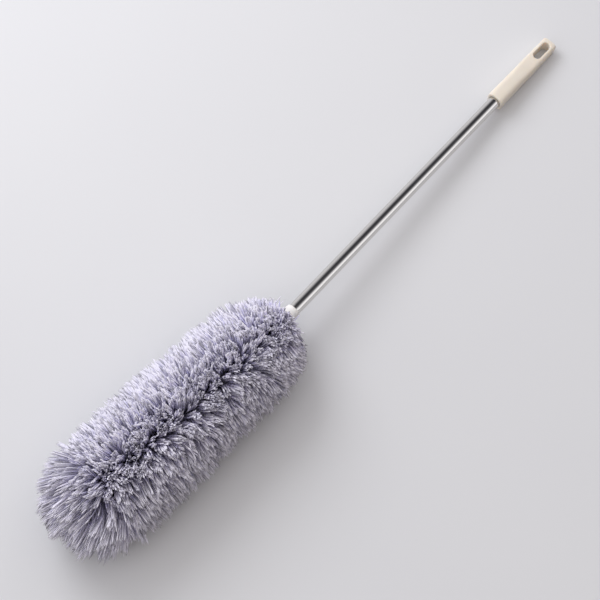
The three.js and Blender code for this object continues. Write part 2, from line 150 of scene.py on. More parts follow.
def add(tree, kind, links=None, out=None, **settings):
    """Adds a node with its settings, sets or links its inputs, and returns one of its outputs."""
    made = tree.nodes.new(kind)
    for name, value in settings.items():
        setattr(made, name, value)
    for key, value in (links or {}).items():
        if isinstance(key, int):
            socket = made.inputs[key]
        else:
            socket = next(s for s in made.inputs if s.name == key and s.enabled)
        if isinstance(value, bpy.types.NodeSocket):
            tree.links.new(value, socket)
        else:
            socket.default_value = value
    found = [s for s in made.outputs if s.enabled and out in (None, s.name)]
    return found[0] if found else None


def new_material(name):
    """An empty node material."""
    made = bpy.data.materials.new(name)
    made.use_nodes = True
    made.node_tree.nodes.clear()
    return made, made.node_tree


# Polished stainless steel: mirror-like, with faint lines along the pole from drawing it and
# with slightly duller patches where hands have held it. The lines are coarser than real ones,
# so that they show.
steel, tree = new_material("polished_stainless_steel")
place = add(tree, "ShaderNodeTexCoord", out="Object")
on_pole = add(tree, "ShaderNodeMapping", {
    "Vector": place, "Location": butt, "Rotation": pole_turn.to_euler(), "Scale": DRAW_LINE,
}, vector_type="TEXTURE")
lines = add(tree, "ShaderNodeTexNoise", {"Vector": on_pole, "Scale": 1.0, "Detail": 2.0})
smudges = add(tree, "ShaderNodeTexNoise", {"Vector": place, "Scale": 1 / SMUDGE, "Detail": 3.0})
dullness = add(tree, "ShaderNodeMix", {"Factor": 0.45, "A": lines, "B": smudges})
roughness = add(tree, "ShaderNodeMapRange", {
    "Value": dullness, "From Min": 0.3, "From Max": 0.7, "To Min": 0.09, "To Max": 0.19,
})
relief = add(tree, "ShaderNodeBump", {"Height": lines, "Strength": 0.06, "Distance": 0.02 * MM})
shade = add(tree, "ShaderNodeBsdfPrincipled", {
    "Base Color": srgb(STEEL_COLOUR), "Metallic": 1.0, "Roughness": roughness, "Normal": relief,
})
add(tree, "ShaderNodeOutputMaterial", {"Surface": shade})

tube_bodies = {
    "outer_tube": "pole_base",
    "second_tube": "pole_second",
    "third_tube": "pole_third",
    "fourth_tube": "pole_fourth",
}
for order, (node, body) in enumerate(tube_bodies.items()):
    rear, mouth = reach(node)
    outline = tube_outline(
        TUBE_RADIUS - order * TUBE_RADIUS_STEP,
        rear,
        mouth,
        bead=rear + BEAD_SETBACK - BEAD_HEIGHT if order > 0 else None,
        neck=NECK_DEPTH if node != "fourth_tube" else None,
    )
    tube = skin("polished_" + node, [circle(*point) for point in outline], pole, steel)
    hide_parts(node)
    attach(tube, body)

# Friction bushes at the rear of the inner tubes, and the plug in the rear of the outer tube.
# Each is a small natural white acetal moulding, pushed in and held by its own spring.
ACETAL_COLOUR = "#efece4"
MOULD_GRAIN = 0.5 * MM


def moulded(name, grain_size, smoothest, dullest, strength, depth, shading):
    """A moulded plastic: the grain of its mould varies its gloss and its relief."""
    made, tree = new_material(name)
    place = add(tree, "ShaderNodeTexCoord", out="Object")
    grain = add(tree, "ShaderNodeTexNoise", {
        "Vector": place, "Scale": 1 / grain_size, "Detail": 2.0,
    })
    roughness = add(tree, "ShaderNodeMapRange", {
        "Value": grain, "To Min": smoothest, "To Max": dullest,
    })
    relief = add(tree, "ShaderNodeBump", {"Height": grain, "Strength": strength, "Distance": depth})
    shade = add(tree, "ShaderNodeBsdfPrincipled", {
        "Roughness": roughness, "Normal": relief, **shading,
    })
    add(tree, "ShaderNodeOutputMaterial", {"Surface": shade})
    return made


# Moulded acetal: slightly waxy, with the grain of a spark-eroded mould, coarser than the real
# one so that it shows.
acetal = moulded(
    "moulded_acetal", MOULD_GRAIN, smoothest=0.28, dullest=0.46, strength=0.08, depth=0.05 * MM,
    shading={"Base Color": srgb(ACETAL_COLOUR), "IOR": 1.48},
)

for node in ("tube_end_plug", "second_bush", "third_bush", "fourth_bush"):
    held = frame["nodes"][node]
    held.data.materials.clear()
    held.data.materials.append(acetal)

# Handle: one ivory polypropylene moulding, pushed on the outer tube. Its section is a rounded
# square, softer where it takes the tube and flatter towards the butt, where a hang slot with
# rounded rims goes right through.
HANDLE_LENGTH = 110.0
HANDLE_RADIUS = 10.9
BUTT_WIDTH = 19.0
BUTT_THICKNESS = 16.4
BUTT_CORNER = 3.5
BUTT_EDGE = 2.5
BUTT_SQUARENESS = 5.0
FRONT_SQUARENESS = 3.2
SQUARE_END = 36.0
SOFT_START = 76.0
FRONT_EDGE = 1.0
BORE_RADIUS = 7.8
BORE_BOTTOM = 51.7
BORE_CHAMFER = 0.4
SLOT_LENGTH = 27.0
SLOT_WIDTH = 10.0
SLOT_FROM_BUTT = 6.0
SLOT_RIM = 1.4
RIM_SWEEP = math.radians(80)
RIM_STEPS = 8
RIM_PAST = 1.2
BUTT_STEPS = 10
GRIP_STEP = 3.0
GRIP_STEPS = 34
FRONT_STEPS = 6
HANDLE_SIDES = 96
SLOT_SIDES = 72
IVORY_COLOUR = "#e7dfd3"
IVORY_DEEP = "#ddd3c6"
FLOW_MARK = 22 * MM
IVORY_GRAIN = 0.7 * MM


def inset(distance, radius):
    """How far a rounded end is drawn in at a distance from it."""
    if distance >= radius:
        return 0.0
    return radius - math.sqrt(radius ** 2 - (radius - distance) ** 2)


def smooth(share):
    """A share eased in and out."""
    share = min(1.0, max(0.0, share))
    return share * share * (3 - 2 * share)


def handle_half(along):
    """Half width, half thickness and squareness of the handle at a place along it."""
    share = along / HANDLE_LENGTH
    front = inset(HANDLE_LENGTH - along, FRONT_EDGE)
    width = BUTT_WIDTH / 2 * (1 - share) + HANDLE_RADIUS * share
    thickness = BUTT_THICKNESS / 2 * (1 - share) + HANDLE_RADIUS * share
    ease = smooth((along - SQUARE_END) / (SOFT_START - SQUARE_END))
    squareness = BUTT_SQUARENESS * (1 - ease) + FRONT_SQUARENESS * ease
    return (
        width - inset(along, BUTT_CORNER) - front,
        thickness - inset(along, BUTT_EDGE) - front,
        squareness,
    )


def handle_ring(along):
    """The superellipse section of the handle."""
    width, thickness, squareness = handle_half(along)
    ring = []
    for k in range(HANDLE_SIDES):
        turn = 2 * math.pi * k / HANDLE_SIDES
        c, s = math.cos(turn), math.sin(turn)
        x = math.copysign(abs(c) ** (2 / squareness), c) * width
        y = math.copysign(abs(s) ** (2 / squareness), s) * thickness
        ring.append((x, y, along))
    return ring


def handle_height(x, along):
    """Height of the handle's upper face over its axis."""
    width, thickness, squareness = handle_half(max(0.0, along))
    across = min(1.0, abs(x) / width)
    return thickness * (1 - across ** squareness) ** (1 / squareness)


def slot_ring(grown, lift, upper):
    """The slot's outline grown by an amount, at a lift over the face that it opens in."""
    end = SLOT_WIDTH / 2
    centres = (SLOT_FROM_BUTT + end, SLOT_FROM_BUTT + SLOT_LENGTH - end)
    ring = []
    for k in range(SLOT_SIDES):
        turn = 2 * math.pi * (k + 0.5) / SLOT_SIDES
        x = (end + grown) * math.cos(turn)
        along = centres[math.sin(turn) > 0] + (end + grown) * math.sin(turn)
        y = handle_height(x, along) + lift
        ring.append((x, y if upper else -y, along))
    return ring


# Ivory polypropylene: satin and a little translucent, with faint warmer flow marks and a
# mould grain that is coarser than the real one so that it shows.
ivory = moulded(
    "moulded_ivory_polypropylene", IVORY_GRAIN, smoothest=0.36, dullest=0.5, strength=0.1,
    depth=0.06 * MM, shading={
        "IOR": 1.49, "Subsurface Weight": 0.5, "Subsurface Scale": 1.0,
        "Subsurface Radius": (4.5 * MM, 3.8 * MM, 2.8 * MM),
    },
)
tree = ivory.node_tree
place = add(tree, "ShaderNodeTexCoord", out="Object")
flow = add(tree, "ShaderNodeTexNoise", {"Vector": place, "Scale": 1 / FLOW_MARK, "Detail": 3.0})
tint = add(tree, "ShaderNodeMix", {
    "Factor": flow, "A": srgb(IVORY_COLOUR), "B": srgb(IVORY_DEEP),
}, data_type="RGBA")
tree.links.new(tint, tree.nodes["Principled BSDF"].inputs["Base Color"])

butt_turns = [math.pi / 2 * k / BUTT_STEPS for k in range(BUTT_STEPS + 1)]
front_turns = [math.pi / 2 * k / FRONT_STEPS for k in range(FRONT_STEPS + 1)]
handle_steps = [BUTT_CORNER * (1 - math.cos(turn)) for turn in butt_turns]
handle_steps += [BUTT_CORNER + GRIP_STEP * k for k in range(1, GRIP_STEPS + 1)]
handle_steps += [HANDLE_LENGTH - FRONT_EDGE * math.cos(turn) for turn in front_turns]
rings = [[(0, 0, 0)]]
rings += [handle_ring(along) for along in handle_steps]
rings += [circle(BORE_RADIUS + BORE_CHAMFER, HANDLE_LENGTH, HANDLE_SIDES)]
rings += [circle(BORE_RADIUS, HANDLE_LENGTH - BORE_CHAMFER, HANDLE_SIDES)]
rings += [circle(BORE_RADIUS, BORE_BOTTOM, HANDLE_SIDES), [(0, 0, BORE_BOTTOM)]]
handle = skin("ivory_handle", rings, pole, ivory)

rim = [(0.0, -SLOT_RIM)]
for k in range(1, RIM_STEPS + 1):
    turn = RIM_SWEEP * k / RIM_STEPS
    rim.append((SLOT_RIM * (1 - math.cos(turn)), SLOT_RIM * (math.sin(turn) - 1)))
past = (rim[-1][0] + RIM_PAST * math.sin(RIM_SWEEP), rim[-1][1] + RIM_PAST * math.cos(RIM_SWEEP))
rim += [past, (past[0], past[1] + HANDLE_RADIUS)]
upper_rings = [slot_ring(grown, lift, True) for grown, lift in rim]
lower_rings = [slot_ring(grown, lift, False) for grown, lift in reversed(rim)]
slot_rings = lower_rings + upper_rings
slot_middle = SLOT_FROM_BUTT + SLOT_LENGTH / 2
slot_rings.insert(0, [(0, slot_rings[0][0][1], slot_middle)])
slot_rings.append([(0, slot_rings[-1][0][1], slot_middle)])
slot_cutter = skin("hang_slot_cutter", slot_rings[::-1], pole, ivory)


def settled(made):
    """Turns a piece with live modifiers into a plain mesh."""
    depsgraph = bpy.context.evaluated_depsgraph_get()
    mesh = bpy.data.meshes.new_from_object(
        made.evaluated_get(depsgraph), preserve_all_data_layers=True, depsgraph=depsgraph
    )
    made.modifiers.clear()
    mesh.name = made.name
    made.data = mesh
    return made


hang_slot = handle.modifiers.new("hang_slot", "BOOLEAN")
hang_slot.operation = "DIFFERENCE"
hang_slot.solver = "EXACT"
hang_slot.object = slot_cutter
settled(handle)
handle.data.shade_smooth()
handle.data.set_sharp_from_angle(angle=SHARP_ANGLE)
bpy.data.objects.remove(slot_cutter)
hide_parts("handle_grip")
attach(handle, "pole_base")

# Threaded plug in the mouth of the last tube: a white acetal moulding with a collar that seats
# on the tube's lip and a coarse rounded thread that the ferrule screws on.
PLUG_SPIGOT_RADIUS = 3.1
PLUG_SPIGOT = 14.3
PLUG_COLLAR_RADIUS = 3.9
PLUG_COLLAR = 2.0
PLUG_EDGE = 0.3
THREAD_RADIUS = 3.0
THREAD_DEPTH = 0.5
THREAD_PITCH = 2.0
THREAD_FADE = 1.6
THREAD_STEPS = 10
THREAD_SIDES = 40

plug_rear, stud_front = reach("thread_plug")
collar_rear = plug_rear + PLUG_SPIGOT
stud_rear = collar_rear + PLUG_COLLAR
plug_rings = [circle(radius, height, THREAD_SIDES) for radius, height in (
    (0, plug_rear),
    (PLUG_SPIGOT_RADIUS - PLUG_EDGE, plug_rear),
    (PLUG_SPIGOT_RADIUS, plug_rear + PLUG_EDGE),
    (PLUG_SPIGOT_RADIUS, collar_rear),
    (PLUG_COLLAR_RADIUS, collar_rear),
    (PLUG_COLLAR_RADIUS, stud_rear - PLUG_EDGE),
    (PLUG_COLLAR_RADIUS - PLUG_EDGE, stud_rear),
)]
thread_rows = round((stud_front - stud_rear) / THREAD_PITCH * THREAD_STEPS)
for row in range(thread_rows + 1):
    height = stud_rear + (stud_front - stud_rear) * row / thread_rows
    fade = min(1.0, min(height - stud_rear, stud_front - height) / THREAD_FADE)
    ring = []
    for k in range(THREAD_SIDES):
        share = k / THREAD_SIDES
        crest = 0.5 + 0.5 * math.cos(2 * math.pi * (height / THREAD_PITCH - share))
        radius = THREAD_RADIUS - THREAD_DEPTH * (1 - crest * fade)
        turn = 2 * math.pi * share
        ring.append((radius * math.cos(turn), radius * math.sin(turn), height))
    plug_rings.append(ring)
plug_rings.append([(0, 0, stud_front)])
plug = skin("threaded_plug", plug_rings, pole, acetal)
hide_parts("thread_plug")
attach(plug, "pole_fourth")

# Ferrule: the white polypropylene socket of the head, moulded with a rounded rear. Its collar
# butts on the tube, it screws on the plug, and the pile is bound on its neck.
FERRULE_RADIUS = 9.3
FERRULE_TAPER = 0.6
FERRULE_COLLAR = 11.5
FERRULE_SHOULDER = 1.5
FERRULE_EDGE = 0.8
REAR_DROP = 1.5
REAR_ROUNDING = 5.0
EDGE_STEPS = 6
NECK_RADIUS = 7.0
ENTRY_RADIUS = 4.2
ENTRY_DEPTH = 3.3
BORE_THREAD_RADIUS = 3.3
BORE_THREAD_DEPTH = 19.6
WIRE_HOLE_RADIUS = 2.4
WIRE_HOLE_DEPTH = 8.0
FERRULE_COLOUR = "#f0eeec"

# White polypropylene: smooth and a little translucent, with a faint grain.
white = moulded(
    "moulded_white_polypropylene", IVORY_GRAIN, smoothest=0.32, dullest=0.48, strength=0.08,
    depth=0.06 * MM, shading={
        "Base Color": srgb(FERRULE_COLOUR), "IOR": 1.49, "Subsurface Weight": 0.1,
        "Subsurface Scale": 1.0, "Subsurface Radius": (1.5 * MM, 1.3 * MM, 1.2 * MM),
    },
)

ferrule_rear, ferrule_front = reach("ferrule")
collar_front = ferrule_rear + FERRULE_COLLAR
edge_turns = [math.pi / 2 * k / EDGE_STEPS for k in range(EDGE_STEPS + 1)]
ferrule_outline = [
    (0, ferrule_rear + BORE_THREAD_DEPTH),
    (BORE_THREAD_RADIUS, ferrule_rear + BORE_THREAD_DEPTH),
    (BORE_THREAD_RADIUS, ferrule_rear + ENTRY_DEPTH),
    (ENTRY_RADIUS, ferrule_rear + ENTRY_DEPTH),
    (ENTRY_RADIUS, ferrule_rear),
]
for turn in edge_turns:
    ferrule_outline.append((
        FERRULE_RADIUS - REAR_DROP * (1 - math.sin(turn)),
        ferrule_rear + REAR_ROUNDING * (1 - math.cos(turn)),
    ))
for turn in edge_turns:
    ferrule_outline.append((
        FERRULE_RADIUS - FERRULE_TAPER - FERRULE_EDGE * (1 - math.cos(turn)),
        collar_front - FERRULE_EDGE * (1 - math.sin(turn)),
    ))
ferrule_outline += [
    (NECK_RADIUS, collar_front + FERRULE_SHOULDER),
    (NECK_RADIUS, ferrule_front),
    (WIRE_HOLE_RADIUS, ferrule_front),
    (WIRE_HOLE_RADIUS, ferrule_front - WIRE_HOLE_DEPTH),
    (0, ferrule_front - WIRE_HOLE_DEPTH),
]
ferrule = skin("white_ferrule", [circle(*point) for point in ferrule_outline], pole, white)
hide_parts("ferrule")
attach(ferrule, "head_root")

# Core of the head: a soft annealed wire in an extruded plastic rod, which keeps the bend that a
# hand gives it. Both run along one path in five stretches, each on one body of the head or left
# in place across a hinge. Distances are millimetres from the rear of the pile.
NECK_UNDER_PILE = 15.0
PILE_LENGTH = 298.0
BEND_START = 3.0
BEND_REACH = 25.0
SHEATH_RADIUS = 7.0
WIRE_RADIUS = 2.0
CORE_PAST_PILE = 8.0
PIECE_GAP = 0.3
CORE_STEP = 3.0
CORE_SIDES = 32
SHEATH_COLOUR = "#d8d6d4"
WIRE_COLOUR = "#96979b"
EXTRUSION_LINE = (0.8 * MM, 0.8 * MM, 60 * MM)

pile_rear = ferrule_front - NECK_UNDER_PILE
bends = [joint for joint in frame["joints"] if joint["name"].startswith("head_bend")]
head_axis = (Vector(bends[1]["pos_m"]) - Vector(bends[0]["pos_m"])).normalized()
bend_corner = pole @ Vector((0, 0, ferrule_front + BEND_START + BEND_REACH))
bend_rear = bend_corner - pole_axis * BEND_REACH * MM
bend_front = bend_corner + head_axis * BEND_REACH * MM
straight_length = NECK_UNDER_PILE + BEND_START
bend_chord = (bend_front - bend_rear).length / MM
bend_length = (2 * bend_chord + 2 * BEND_REACH) / 3


def core_frame(along):
    """Point, direction, sideways and up of the core at a distance from the rear of the pile."""
    past = along - straight_length
    if past < 0:
        point, forward = bend_rear + pole_axis * past * MM, pole_axis
    elif past < bend_length:
        share = past / bend_length
        first, second = bend_rear.lerp(bend_corner, share), bend_corner.lerp(bend_front, share)
        point, forward = first.lerp(second, share), pole_axis.lerp(head_axis, share).normalized()
    else:
        point, forward = bend_front + head_axis * (past - bend_length) * MM, head_axis
    sideways = Vector((0, 0, 1)).cross(forward).normalized()
    return point, forward, sideways, forward.cross(sideways)


def core_ring(along, radius, sides=CORE_SIDES):
    """A ring of points around the core, or its centre where the radius is nought."""
    point, _, sideways, up = core_frame(along)
    if radius == 0:
        return [point]
    turns = [2 * math.pi * k / sides for k in range(sides)]
    return [
        point + (sideways * math.cos(turn) + up * math.sin(turn)) * radius * MM for turn in turns
    ]


# The hinges of the head are two, four and six bands from the rear, and each stretch across a
# hinge reaches one band to either side of it.
BAND = PILE_LENGTH / 8
stretches = [
    ("rear", None, BAND, ("head_root",)),
    ("second", BAND, 3 * BAND, ("head_root", "head_second")),
    ("third", 3 * BAND, 5 * BAND, ("head_second", "head_third")),
    ("fourth", 5 * BAND, 7 * BAND, ("head_third", "head_tip")),
    ("front", 7 * BAND, None, ("head_tip",)),
]


def follow(made, bodies):
    """A stretch rides on one body; one between two bodies is only left in place."""
    if len(bodies) == 1:
        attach(made, bodies[0])
    else:
        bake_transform(made)


def core_rod(name, radius, hole, rear, front, finish, node):
    """A rod or pipe along the core, in stretches that each ride on one body of the head or stay in
    place across a hinge.
    """
    for suffix, start, end, bodies in stretches:
        first = rear if start is None else start
        last = front if end is None else end
        steps = max(2, round((last - first) / CORE_STEP))
        places = [first + (last - first) * k / steps for k in range(steps + 1)]
        rings = [core_ring(along, radius) for along in places]
        if hole:
            rings += [core_ring(along, hole) for along in reversed(places)]
        else:
            rings = [core_ring(first, 0)] + rings + [core_ring(last, 0)]
        made = skin(f"{name}_{suffix}", rings, Matrix.Identity(4), finish)
        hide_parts(node)
        follow(made, bodies)


# Annealed steel wire: dull grey, with drawing lines along it.
wire_steel, tree = new_material("annealed_steel_wire")
place = add(tree, "ShaderNodeTexCoord", out="Object")
along_head = add(tree, "ShaderNodeMapping", {"Vector": place, "Scale": DRAW_LINE[::-1]},
                 vector_type="TEXTURE")
lines = add(tree, "ShaderNodeTexNoise", {"Vector": along_head, "Scale": 1.0, "Detail": 2.0})
roughness = add(tree, "ShaderNodeMapRange", {"Value": lines, "To Min": 0.3, "To Max": 0.55})
shade = add(tree, "ShaderNodeBsdfPrincipled", {
    "Base Color": srgb(WIRE_COLOUR), "Metallic": 1.0, "Roughness": roughness,
})
add(tree, "ShaderNodeOutputMaterial", {"Surface": shade})

# Extruded polyethylene: waxy and pale, with die lines along it.
sheath_plastic, tree = new_material("extruded_polyethylene")
place = add(tree, "ShaderNodeTexCoord", out="Object")
along_head = add(tree, "ShaderNodeMapping", {"Vector": place, "Scale": EXTRUSION_LINE[::-1]},
                 vector_type="TEXTURE")
lines = add(tree, "ShaderNodeTexNoise", {"Vector": along_head, "Scale": 1.0, "Detail": 2.0})
roughness = add(tree, "ShaderNodeMapRange", {"Value": lines, "To Min": 0.45, "To Max": 0.6})
relief = add(tree, "ShaderNodeBump", {"Height": lines, "Strength": 0.1, "Distance": 0.1 * MM})
shade = add(tree, "ShaderNodeBsdfPrincipled", {
    "Base Color": srgb(SHEATH_COLOUR), "Roughness": roughness, "IOR": 1.5, "Normal": relief,
})
add(tree, "ShaderNodeOutputMaterial", {"Surface": shade})

core_front = PILE_LENGTH + CORE_PAST_PILE
wire_rear = NECK_UNDER_PILE - WIRE_HOLE_DEPTH + PIECE_GAP
core_rod("wire", WIRE_RADIUS, 0, wire_rear, core_front - PIECE_GAP,
         wire_steel, "core_wire")
core_rod("sheath", SHEATH_RADIUS, WIRE_HOLE_RADIUS, NECK_UNDER_PILE + PIECE_GAP, core_front,
         sheath_plastic, "core_sheath")

# Tip cap: a white moulded cap pushed over the end of the core, hidden in the pile.
tip_cap = frame["nodes"]["tip_cap"]
tip_cap.data.materials.clear()
tip_cap.data.materials.append(acetal)

# Backing: the woven tape that the fibre is sewn in, wound around the core edge over edge and
# glued. It shows only where the pile parts.
TAPE_INSIDE = 7.5
TAPE_WALL = 1.1
TAPE_LAP = 0.4
TAPE_WIDTH = 19.0
TAPE_STEP = 1.5
TAPE_THREAD = 0.6 * MM
TAPE_COLOUR = "#7d7a8e"
TAPE_SHADOW = "#4f4d5e"

tape_cloth, tree = new_material("woven_polyester_tape")
place = add(tree, "ShaderNodeTexCoord", out="Object")
weave = add(tree, "ShaderNodeTexChecker", {"Vector": place, "Scale": 1 / TAPE_THREAD}, out="Fac")
fuzz = add(tree, "ShaderNodeTexNoise", {"Vector": place, "Scale": 1 / TAPE_THREAD, "Detail": 2.0})
mixed = add(tree, "ShaderNodeMix", {"Factor": 0.5, "A": weave, "B": fuzz})
tint = add(tree, "ShaderNodeMix", {
    "Factor": mixed, "A": srgb(TAPE_SHADOW), "B": srgb(TAPE_COLOUR),
}, data_type="RGBA")
relief = add(tree, "ShaderNodeBump", {"Height": mixed, "Strength": 0.4, "Distance": 0.2 * MM})
shade = add(tree, "ShaderNodeBsdfPrincipled", {
    "Base Color": tint, "Roughness": 0.9, "Normal": relief,
})
add(tree, "ShaderNodeOutputMaterial", {"Surface": shade})


def tape_ring(along):
    """The outside of the wound tape, which steps up at each lap."""
    point, _, sideways, up = core_frame(along)
    ring = []
    for k in range(CORE_SIDES):
        turn = 2 * math.pi * k / CORE_SIDES
        lap = (along / TAPE_WIDTH + k / CORE_SIDES) % 1
        radius = TAPE_INSIDE + TAPE_WALL + TAPE_LAP * lap
        ring.append(point + (sideways * math.cos(turn) + up * math.sin(turn)) * radius * MM)
    return ring


pile_nodes = ["pile_1", "pile_2", "pile_3", "pile_4"]
for suffix, start, end, bodies in stretches:
    first = 0 if start is None else start
    last = PILE_LENGTH if end is None else end
    steps = round((last - first) / TAPE_STEP)
    places = [first + (last - first) * k / steps for k in range(steps + 1)]
    rings = [tape_ring(along) for along in places]
    rings += [core_ring(along, TAPE_INSIDE) for along in reversed(places)]
    tape = skin(f"backing_{suffix}", rings, Matrix.Identity(4), tape_cloth)
    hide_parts(pile_nodes[min(3, int(first / (2 * BAND)))])
    follow(tape, bodies)

# Pile: long microfibre strands sewn in the backing, trimmed round at the rear, fanned out over
# the tip and pressed flat by the floor. They cling together in locks, and a few stand out as
# wisps. Each strand stands for a bundle of fibres, because single ones are too fine to show.
STRAND_ROOT = 8.8
TIP_ROOT = 1.0
TIP_CAP_REACH = 13.0
REAR_RADIUS = 66.5
FRONT_RADIUS = 72.0
SWELL_START = 71.0
FULL_PLACE = 196.0
REAR_START = -9.5
REAR_ROUND = 86.0
REAR_BLUNTNESS = 2.5
COLLAR_RADIUS = 12.0
FRONT_END = 346.0
FRONT_BLUNTNESS = 2.4
FAN_ROOTS = 40.0
FAN_EASE = 1.25
NEAR_SIDE_SET = 5.5
SET_START = 110.0
COLLAR_REACH = 8.0
COLLAR_ROWS = 8
FAN_START = 274.0
END_START = 286.0
ENVELOPE_SIDES = 64
ENVELOPE_STEP = 4.0
FRONT_STEP = 1.5
FAN_STEP = 0.5
PILE_SHADES = 64
OTHER_DRAW = 0.37
# The three fibre colours below are lit and shaded copies of one fibre colour: painted shade deep in
# the pile.
FIBRE_SHADED_ROOT = "#8f8cac"
FIBRE_HALF_SHADED = "#bdbbda"
FIBRE_LIT_TIP = "#f0effe"
FIBRE_PALEST = (0.9, 0.88, 1.0)
FIBRE_BLEACHED = "#fcfbfd"
FIBRE_WARM = "#d3c8d2"
ROOT_PLACE = 0.3
MIDDLE_PLACE = 0.64
TIP_PLACE = 0.97
WARM_SHARE = 0.28
DARKEST_STRAND = 0.44
LIGHTEST_STRAND = 1.92


def strand_reach(along, collar):
    """Where along the core and how far from it a strand's tip is, from where its root is."""
    swell = smooth((along - SWELL_START) / (FULL_PLACE - SWELL_START))
    radius = REAR_RADIUS + (FRONT_RADIUS - REAR_RADIUS) * swell
    short = max(0.0, 1 - (along - REAR_START) / REAR_ROUND)
    radius *= (1 - short ** REAR_BLUNTNESS) ** (1 / REAR_BLUNTNESS)
    fan = max(0.0, 1 - (PILE_LENGTH - along) / FAN_ROOTS)
    turn = math.pi / 2 * fan ** FAN_EASE
    power = 2 / FRONT_BLUNTNESS
    fan_start = PILE_LENGTH - FAN_ROOTS
    place = min(along, fan_start) + (FRONT_END - fan_start) * math.sin(turn) ** power
    radius *= max(0.0, math.cos(turn)) ** power
    return place + REAR_START * collar, radius + (COLLAR_RADIUS - radius) * collar


def envelope(name, rows):
    """The surface that the tips reach, from (place along the core, collar share) pairs. It
    keeps each tip's root on the backing and the direction in which the strand leaves it."""
    points, roots, radials, faces = [], [], [], []
    for along, collar in rows:
        fan = max(0.0, 1 - (PILE_LENGTH - along) / FAN_ROOTS) ** 2
        point, _, sideways, up = core_frame(along + TIP_CAP_REACH * fan)
        root_radius = STRAND_ROOT + (TIP_ROOT - STRAND_ROOT) * fan
        place, radius = strand_reach(along, collar)
        aside = NEAR_SIDE_SET * smooth((along - SET_START) / (PILE_LENGTH - SET_START))
        centre = core_frame(place)[0] - Vector((0, aside * MM, 0))
        for k in range(ENVELOPE_SIDES):
            turn = 2 * math.pi * k / ENVELOPE_SIDES
            radial = sideways * math.cos(turn) + up * math.sin(turn)
            roots.append(point + radial * root_radius * MM)
            radials.append(radial)
            points.append(centre + radial * radius * MM)
    for row in range(len(rows) - 1):
        for k in range(ENVELOPE_SIDES):
            a, b = row * ENVELOPE_SIDES + k, row * ENVELOPE_SIDES + (k + 1) % ENVELOPE_SIDES
            faces.append((a, b, b + ENVELOPE_SIDES, a + ENVELOPE_SIDES))
    mesh = bpy.data.meshes.new(name)
    mesh.from_pydata(points, [], faces)
    for key, vectors in (("root", roots), ("radial", radials)):
        stored = mesh.attributes.new(key, "FLOAT_VECTOR", "POINT")
        stored.data.foreach_set("vector", [part for vector in vectors for part in vector])
    made = bpy.data.objects.new(name, mesh)
    bpy.context.scene.collection.objects.link(made)
    return made


# Microfibre strand: lilac-grey polyester, with painted shade that makes it dark at the root,
# deep in the pile, and pale at the brushed tip, and with some strands lighter or warmer than
# their neighbours. The strand's own map holds its shade across and how far it reaches out of
# the pile upwards.
fibre, tree = new_material("lilac_grey_microfibre")
strand_map = add(tree, "ShaderNodeUVMap", out="UV", uv_map="OFBake")
shade_place = add(tree, "ShaderNodeSeparateXYZ", {"Vector": strand_map}, out="X")
strand_place = add(tree, "ShaderNodeSeparateXYZ", {"Vector": strand_map}, out="Y")
column = add(tree, "ShaderNodeMath", {0: shade_place, 1: PILE_SHADES}, operation="MULTIPLY")
column = add(tree, "ShaderNodeMath", {0: column}, operation="FLOOR")
luck = add(tree, "ShaderNodeTexWhiteNoise", {"W": column}, out="Value", noise_dimensions="1D")
other = add(tree, "ShaderNodeMath", {0: column, 1: OTHER_DRAW}, operation="ADD")
other = add(tree, "ShaderNodeTexWhiteNoise", {"W": other}, out="Value", noise_dimensions="1D")
# Painted shade: the fibre darkens from its tip towards its root, where the pile shades it.
painted_depth_shade = add(tree, "ShaderNodeValToRGB", {"Fac": strand_place}, out="Color")
stops = painted_depth_shade.node.color_ramp.elements
stops[0].color, stops[0].position = srgb(FIBRE_SHADED_ROOT), ROOT_PLACE
stops[1].color, stops[1].position = srgb(FIBRE_LIT_TIP), TIP_PLACE
middle = stops.new(MIDDLE_PLACE)
middle.color = srgb(FIBRE_HALF_SHADED)
warmth = add(tree, "ShaderNodeMapRange", {"Value": other, "To Max": WARM_SHARE})
tint = add(tree, "ShaderNodeMix", {"Factor": warmth, "A": painted_depth_shade, "B": srgb(FIBRE_WARM)},
           data_type="RGBA")
# Bleached strands are nearly white, and the painted shade towards the root darkens them too.
bleached = add(tree, "ShaderNodeMapRange", {
    "Value": luck, "From Min": 0.9, "From Max": 0.98, "To Min": 0.0, "To Max": 0.75,
})
bleached = add(tree, "ShaderNodeMath", {0: bleached, 1: strand_place}, operation="MULTIPLY")
tint = add(tree, "ShaderNodeMix", {"Factor": bleached, "A": tint, "B": srgb(FIBRE_BLEACHED)},
           data_type="RGBA")
level = add(tree, "ShaderNodeMapRange", {
    "Value": luck, "To Min": DARKEST_STRAND, "To Max": LIGHTEST_STRAND,
})
tint = add(tree, "ShaderNodeVectorMath", {0: tint, "Scale": level}, operation="SCALE")
tint = add(tree, "ShaderNodeVectorMath", {0: tint, 1: FIBRE_PALEST}, operation="MINIMUM")
roughness = add(tree, "ShaderNodeMapRange", {"Value": luck, "To Min": 0.45, "To Max": 0.65})
shade = add(tree, "ShaderNodeBsdfPrincipled", {
    "Base Color": tint, "Roughness": roughness, "Specular IOR Level": 0.35,
    "Sheen Weight": 0.35, "Sheen Roughness": 0.4,
})
add(tree, "ShaderNodeOutputMaterial", {"Surface": shade})

